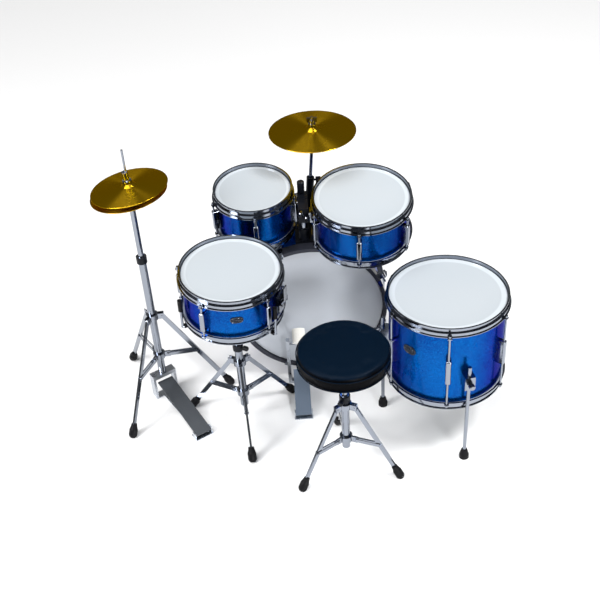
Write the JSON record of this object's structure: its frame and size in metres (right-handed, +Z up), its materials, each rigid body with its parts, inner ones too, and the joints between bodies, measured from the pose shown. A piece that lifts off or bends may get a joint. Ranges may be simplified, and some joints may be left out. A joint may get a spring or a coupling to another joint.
{
  "type": "acoustic drum kit",
  "caption": "Junior acoustic drum kit: bass drum, toms, floor tom, snare, hi-hat, crash cymbal, pedals and round throne.",
  "frame": {"origin": "centre of the kit's bounding box, on the floor", "axes": "+Z up, -Y towards the drummer, +X towards the floor tom"},
  "size_m": [1.0901, 0.791, 0.824],
  "materials": {
    "blue_shell": "metallic blue wrap under clear lacquer",
    "chrome": "bright chrome plate",
    "head_film": "coated white drum head",
    "brass": "spun and lathed brass",
    "black_rubber": "matt black rubber",
    "black_plastic": "moulded black plastic",
    "black_vinyl": "black vinyl upholstery",
    "steel": "zinc plated steel",
    "grey_tread": "grey cast pedal tread",
    "white_felt": "pressed wool felt",
    "dark_hoop": "dark lacquered hoop",
    "badge": "plain black oval plate"
  },
  "bodies": {
    "kit_base": {"bass_drum_shell": "blue_shell", "bass_drum_heads": "head_film", "bass_drum_hoops": "dark_hoop", "bass_drum_hardware": "chrome", "tom_mount": "black_plastic", "tom_mount_post": "chrome", "bass_pedal_frame": "steel", "floor_tom_legs": "chrome", "floor_tom_feet": "black_rubber", "snare_stand_tube": "chrome", "snare_stand_legs": "chrome", "snare_stand_feet": "black_rubber", "stand_locks": "black_plastic", "throne_tube": "chrome", "throne_legs": "chrome", "throne_feet": "black_rubber", "hihat_stand_tube": "chrome", "hihat_stand_legs": "chrome", "hihat_stand_feet": "black_rubber", "hihat_pedal_frame": "steel"},
    "bass_spur_left": {"bass_spur_left": "chrome"},
    "bass_spur_right": {"bass_spur_right": "chrome"},
    "left_tom": {"left_tom_shell": "blue_shell", "left_tom_heads": "head_film", "left_tom_hoops": "chrome", "left_tom_hardware": "chrome"},
    "right_tom": {"right_tom_shell": "blue_shell", "right_tom_heads": "head_film", "right_tom_hoops": "chrome", "right_tom_hardware": "chrome"},
    "crash_stem": {"crash_rod": "chrome"},
    "crash_tilter": {"crash_tilter": "chrome"},
    "crash_cymbal": {"crash_cymbal": "brass"},
    "floor_tom": {"floor_tom_shell": "blue_shell", "floor_tom_heads": "head_film", "floor_tom_hoops": "chrome", "floor_tom_hardware": "chrome", "floor_tom_badge": "badge"},
    "snare_post": {"snare_stand_post": "chrome"},
    "snare": {"snare_drum_shell": "blue_shell", "snare_drum_heads": "head_film", "snare_drum_hoops": "chrome", "snare_drum_hardware": "chrome", "snare_badge": "badge", "snare_wires": "steel", "snare_strainer": "chrome", "snare_basket": "chrome", "snare_basket_grips": "black_rubber"},
    "snare_lever": {"snare_lever": "chrome"},
    "throne_post": {"throne_post": "chrome"},
    "throne_seat": {"throne_seat": "black_vinyl", "throne_seat_pan": "steel"},
    "hihat_upper": {"hihat_upper_tube": "chrome", "hihat_bottom_cymbal": "brass"},
    "hihat_pull": {"hihat_rod": "chrome", "hihat_top_cymbal": "brass"},
    "hihat_board": {"hihat_pedal_board": "grey_tread"},
    "bass_board": {"bass_pedal_board": "grey_tread"},
    "bass_beater": {"bass_beater": "chrome", "bass_beater_felt": "white_felt"}
  },
  "joints": [
    {"name": "bass_spur_left_fold", "type": "hinge", "parent": "kit_base", "child": "bass_spur_left", "pos_m": [-0.1954, 0.2995, 0.2051], "axis": [1, 0, 0], "range_deg": [0, 60]},
    {"name": "bass_spur_right_fold", "type": "hinge", "parent": "kit_base", "child": "bass_spur_right", "pos_m": [0.2586, 0.2995, 0.2051], "axis": [1, 0, 0], "range_deg": [0, 60]},
    {"name": "left_tom_tilt", "type": "hinge", "parent": "kit_base", "child": "left_tom", "pos_m": [-0.1094, 0.17314, 0.56], "axis": [1, 0, 0], "range_deg": [-8, 7]},
    {"name": "right_tom_tilt", "type": "hinge", "parent": "kit_base", "child": "right_tom", "pos_m": [0.1806, 0.1107, 0.56], "axis": [1, 0, 0], "range_deg": [-7, 4]},
    {"name": "crash_height", "type": "slide", "parent": "kit_base", "child": "crash_stem", "axis": [0.0867, 0, 0.9962], "range_m": [0, 0.04]},
    {"name": "crash_tilt", "type": "hinge", "parent": "crash_stem", "child": "crash_tilter", "pos_m": [0.06234, 0.2755, 0.715], "axis": [1, 0, 0], "range_deg": [-20, 20]},
    {"name": "crash_spin", "type": "hinge", "parent": "crash_tilter", "child": "crash_cymbal", "pos_m": [0.06234, 0.2755, 0.738], "axis": [0, 0, 1], "continuous": true},
    {"name": "floor_tom_height", "type": "slide", "parent": "kit_base", "child": "floor_tom", "axis": [0, 0, 1], "range_m": [-0.05, 0.03]},
    {"name": "snare_height", "type": "slide", "parent": "kit_base", "child": "snare_post", "axis": [0, 0, 1], "range_m": [-0.03, 0.04]},
    {"name": "snare_tilt", "type": "hinge", "parent": "snare_post", "child": "snare", "pos_m": [-0.17896, -0.07767, 0.36468], "axis": [0.9996, 0.0012, -0.0299], "range_deg": [-4, 10]},
    {"name": "snare_throw_off", "type": "hinge", "parent": "snare", "child": "snare_lever", "pos_m": [-0.04257, -0.15499, 0.48086], "axis": [0.4549, 0.8887, 0.0575], "range_deg": [0, 75]},
    {"name": "throne_height", "type": "slide", "parent": "kit_base", "child": "throne_post", "axis": [0, 0, 1], "range_m": [-0.04, 0.03]},
    {"name": "throne_spin", "type": "hinge", "parent": "throne_post", "child": "throne_seat", "pos_m": [0.0966, -0.2755, 0.366], "axis": [0, 0, 1], "continuous": true},
    {"name": "hihat_height", "type": "slide", "parent": "kit_base", "child": "hihat_upper", "axis": [0, 0, 1], "range_m": [-0.05, 0]},
    {"name": "hihat_pedal", "type": "hinge", "parent": "kit_base", "child": "hihat_board", "pos_m": [-0.30309, -0.13197, 0.014], "axis": [0.849, 0.5284, 0], "range_deg": [-3.5, 0], "stiffness_Nm_per_rad": 60, "springref_deg": 3.44},
    {"name": "hihat_pull", "type": "slide", "parent": "kit_base", "child": "hihat_pull", "axis": [0, 0, 1], "range_m": [-0.014, 0]},
    {"name": "bass_pedal", "type": "hinge", "parent": "kit_base", "child": "bass_board", "pos_m": [-0.0124, -0.0845, 0.014], "axis": [1, 0, 0], "range_deg": [-9, 0], "stiffness_Nm_per_rad": 12, "springref_deg": 6.88},
    {"name": "bass_beater", "type": "hinge", "parent": "kit_base", "child": "bass_beater", "pos_m": [-0.0124, 0.0655, 0.15], "axis": [1, 0, 0], "range_deg": [-43, 0]}
  ],
  "couplings": [
    {"joint": "hihat_pull", "follows": "hihat_pedal", "m_per_rad": 0.222},
    {"joint": "bass_beater", "follows": "bass_pedal", "ratio": 4.77}
  ]
}
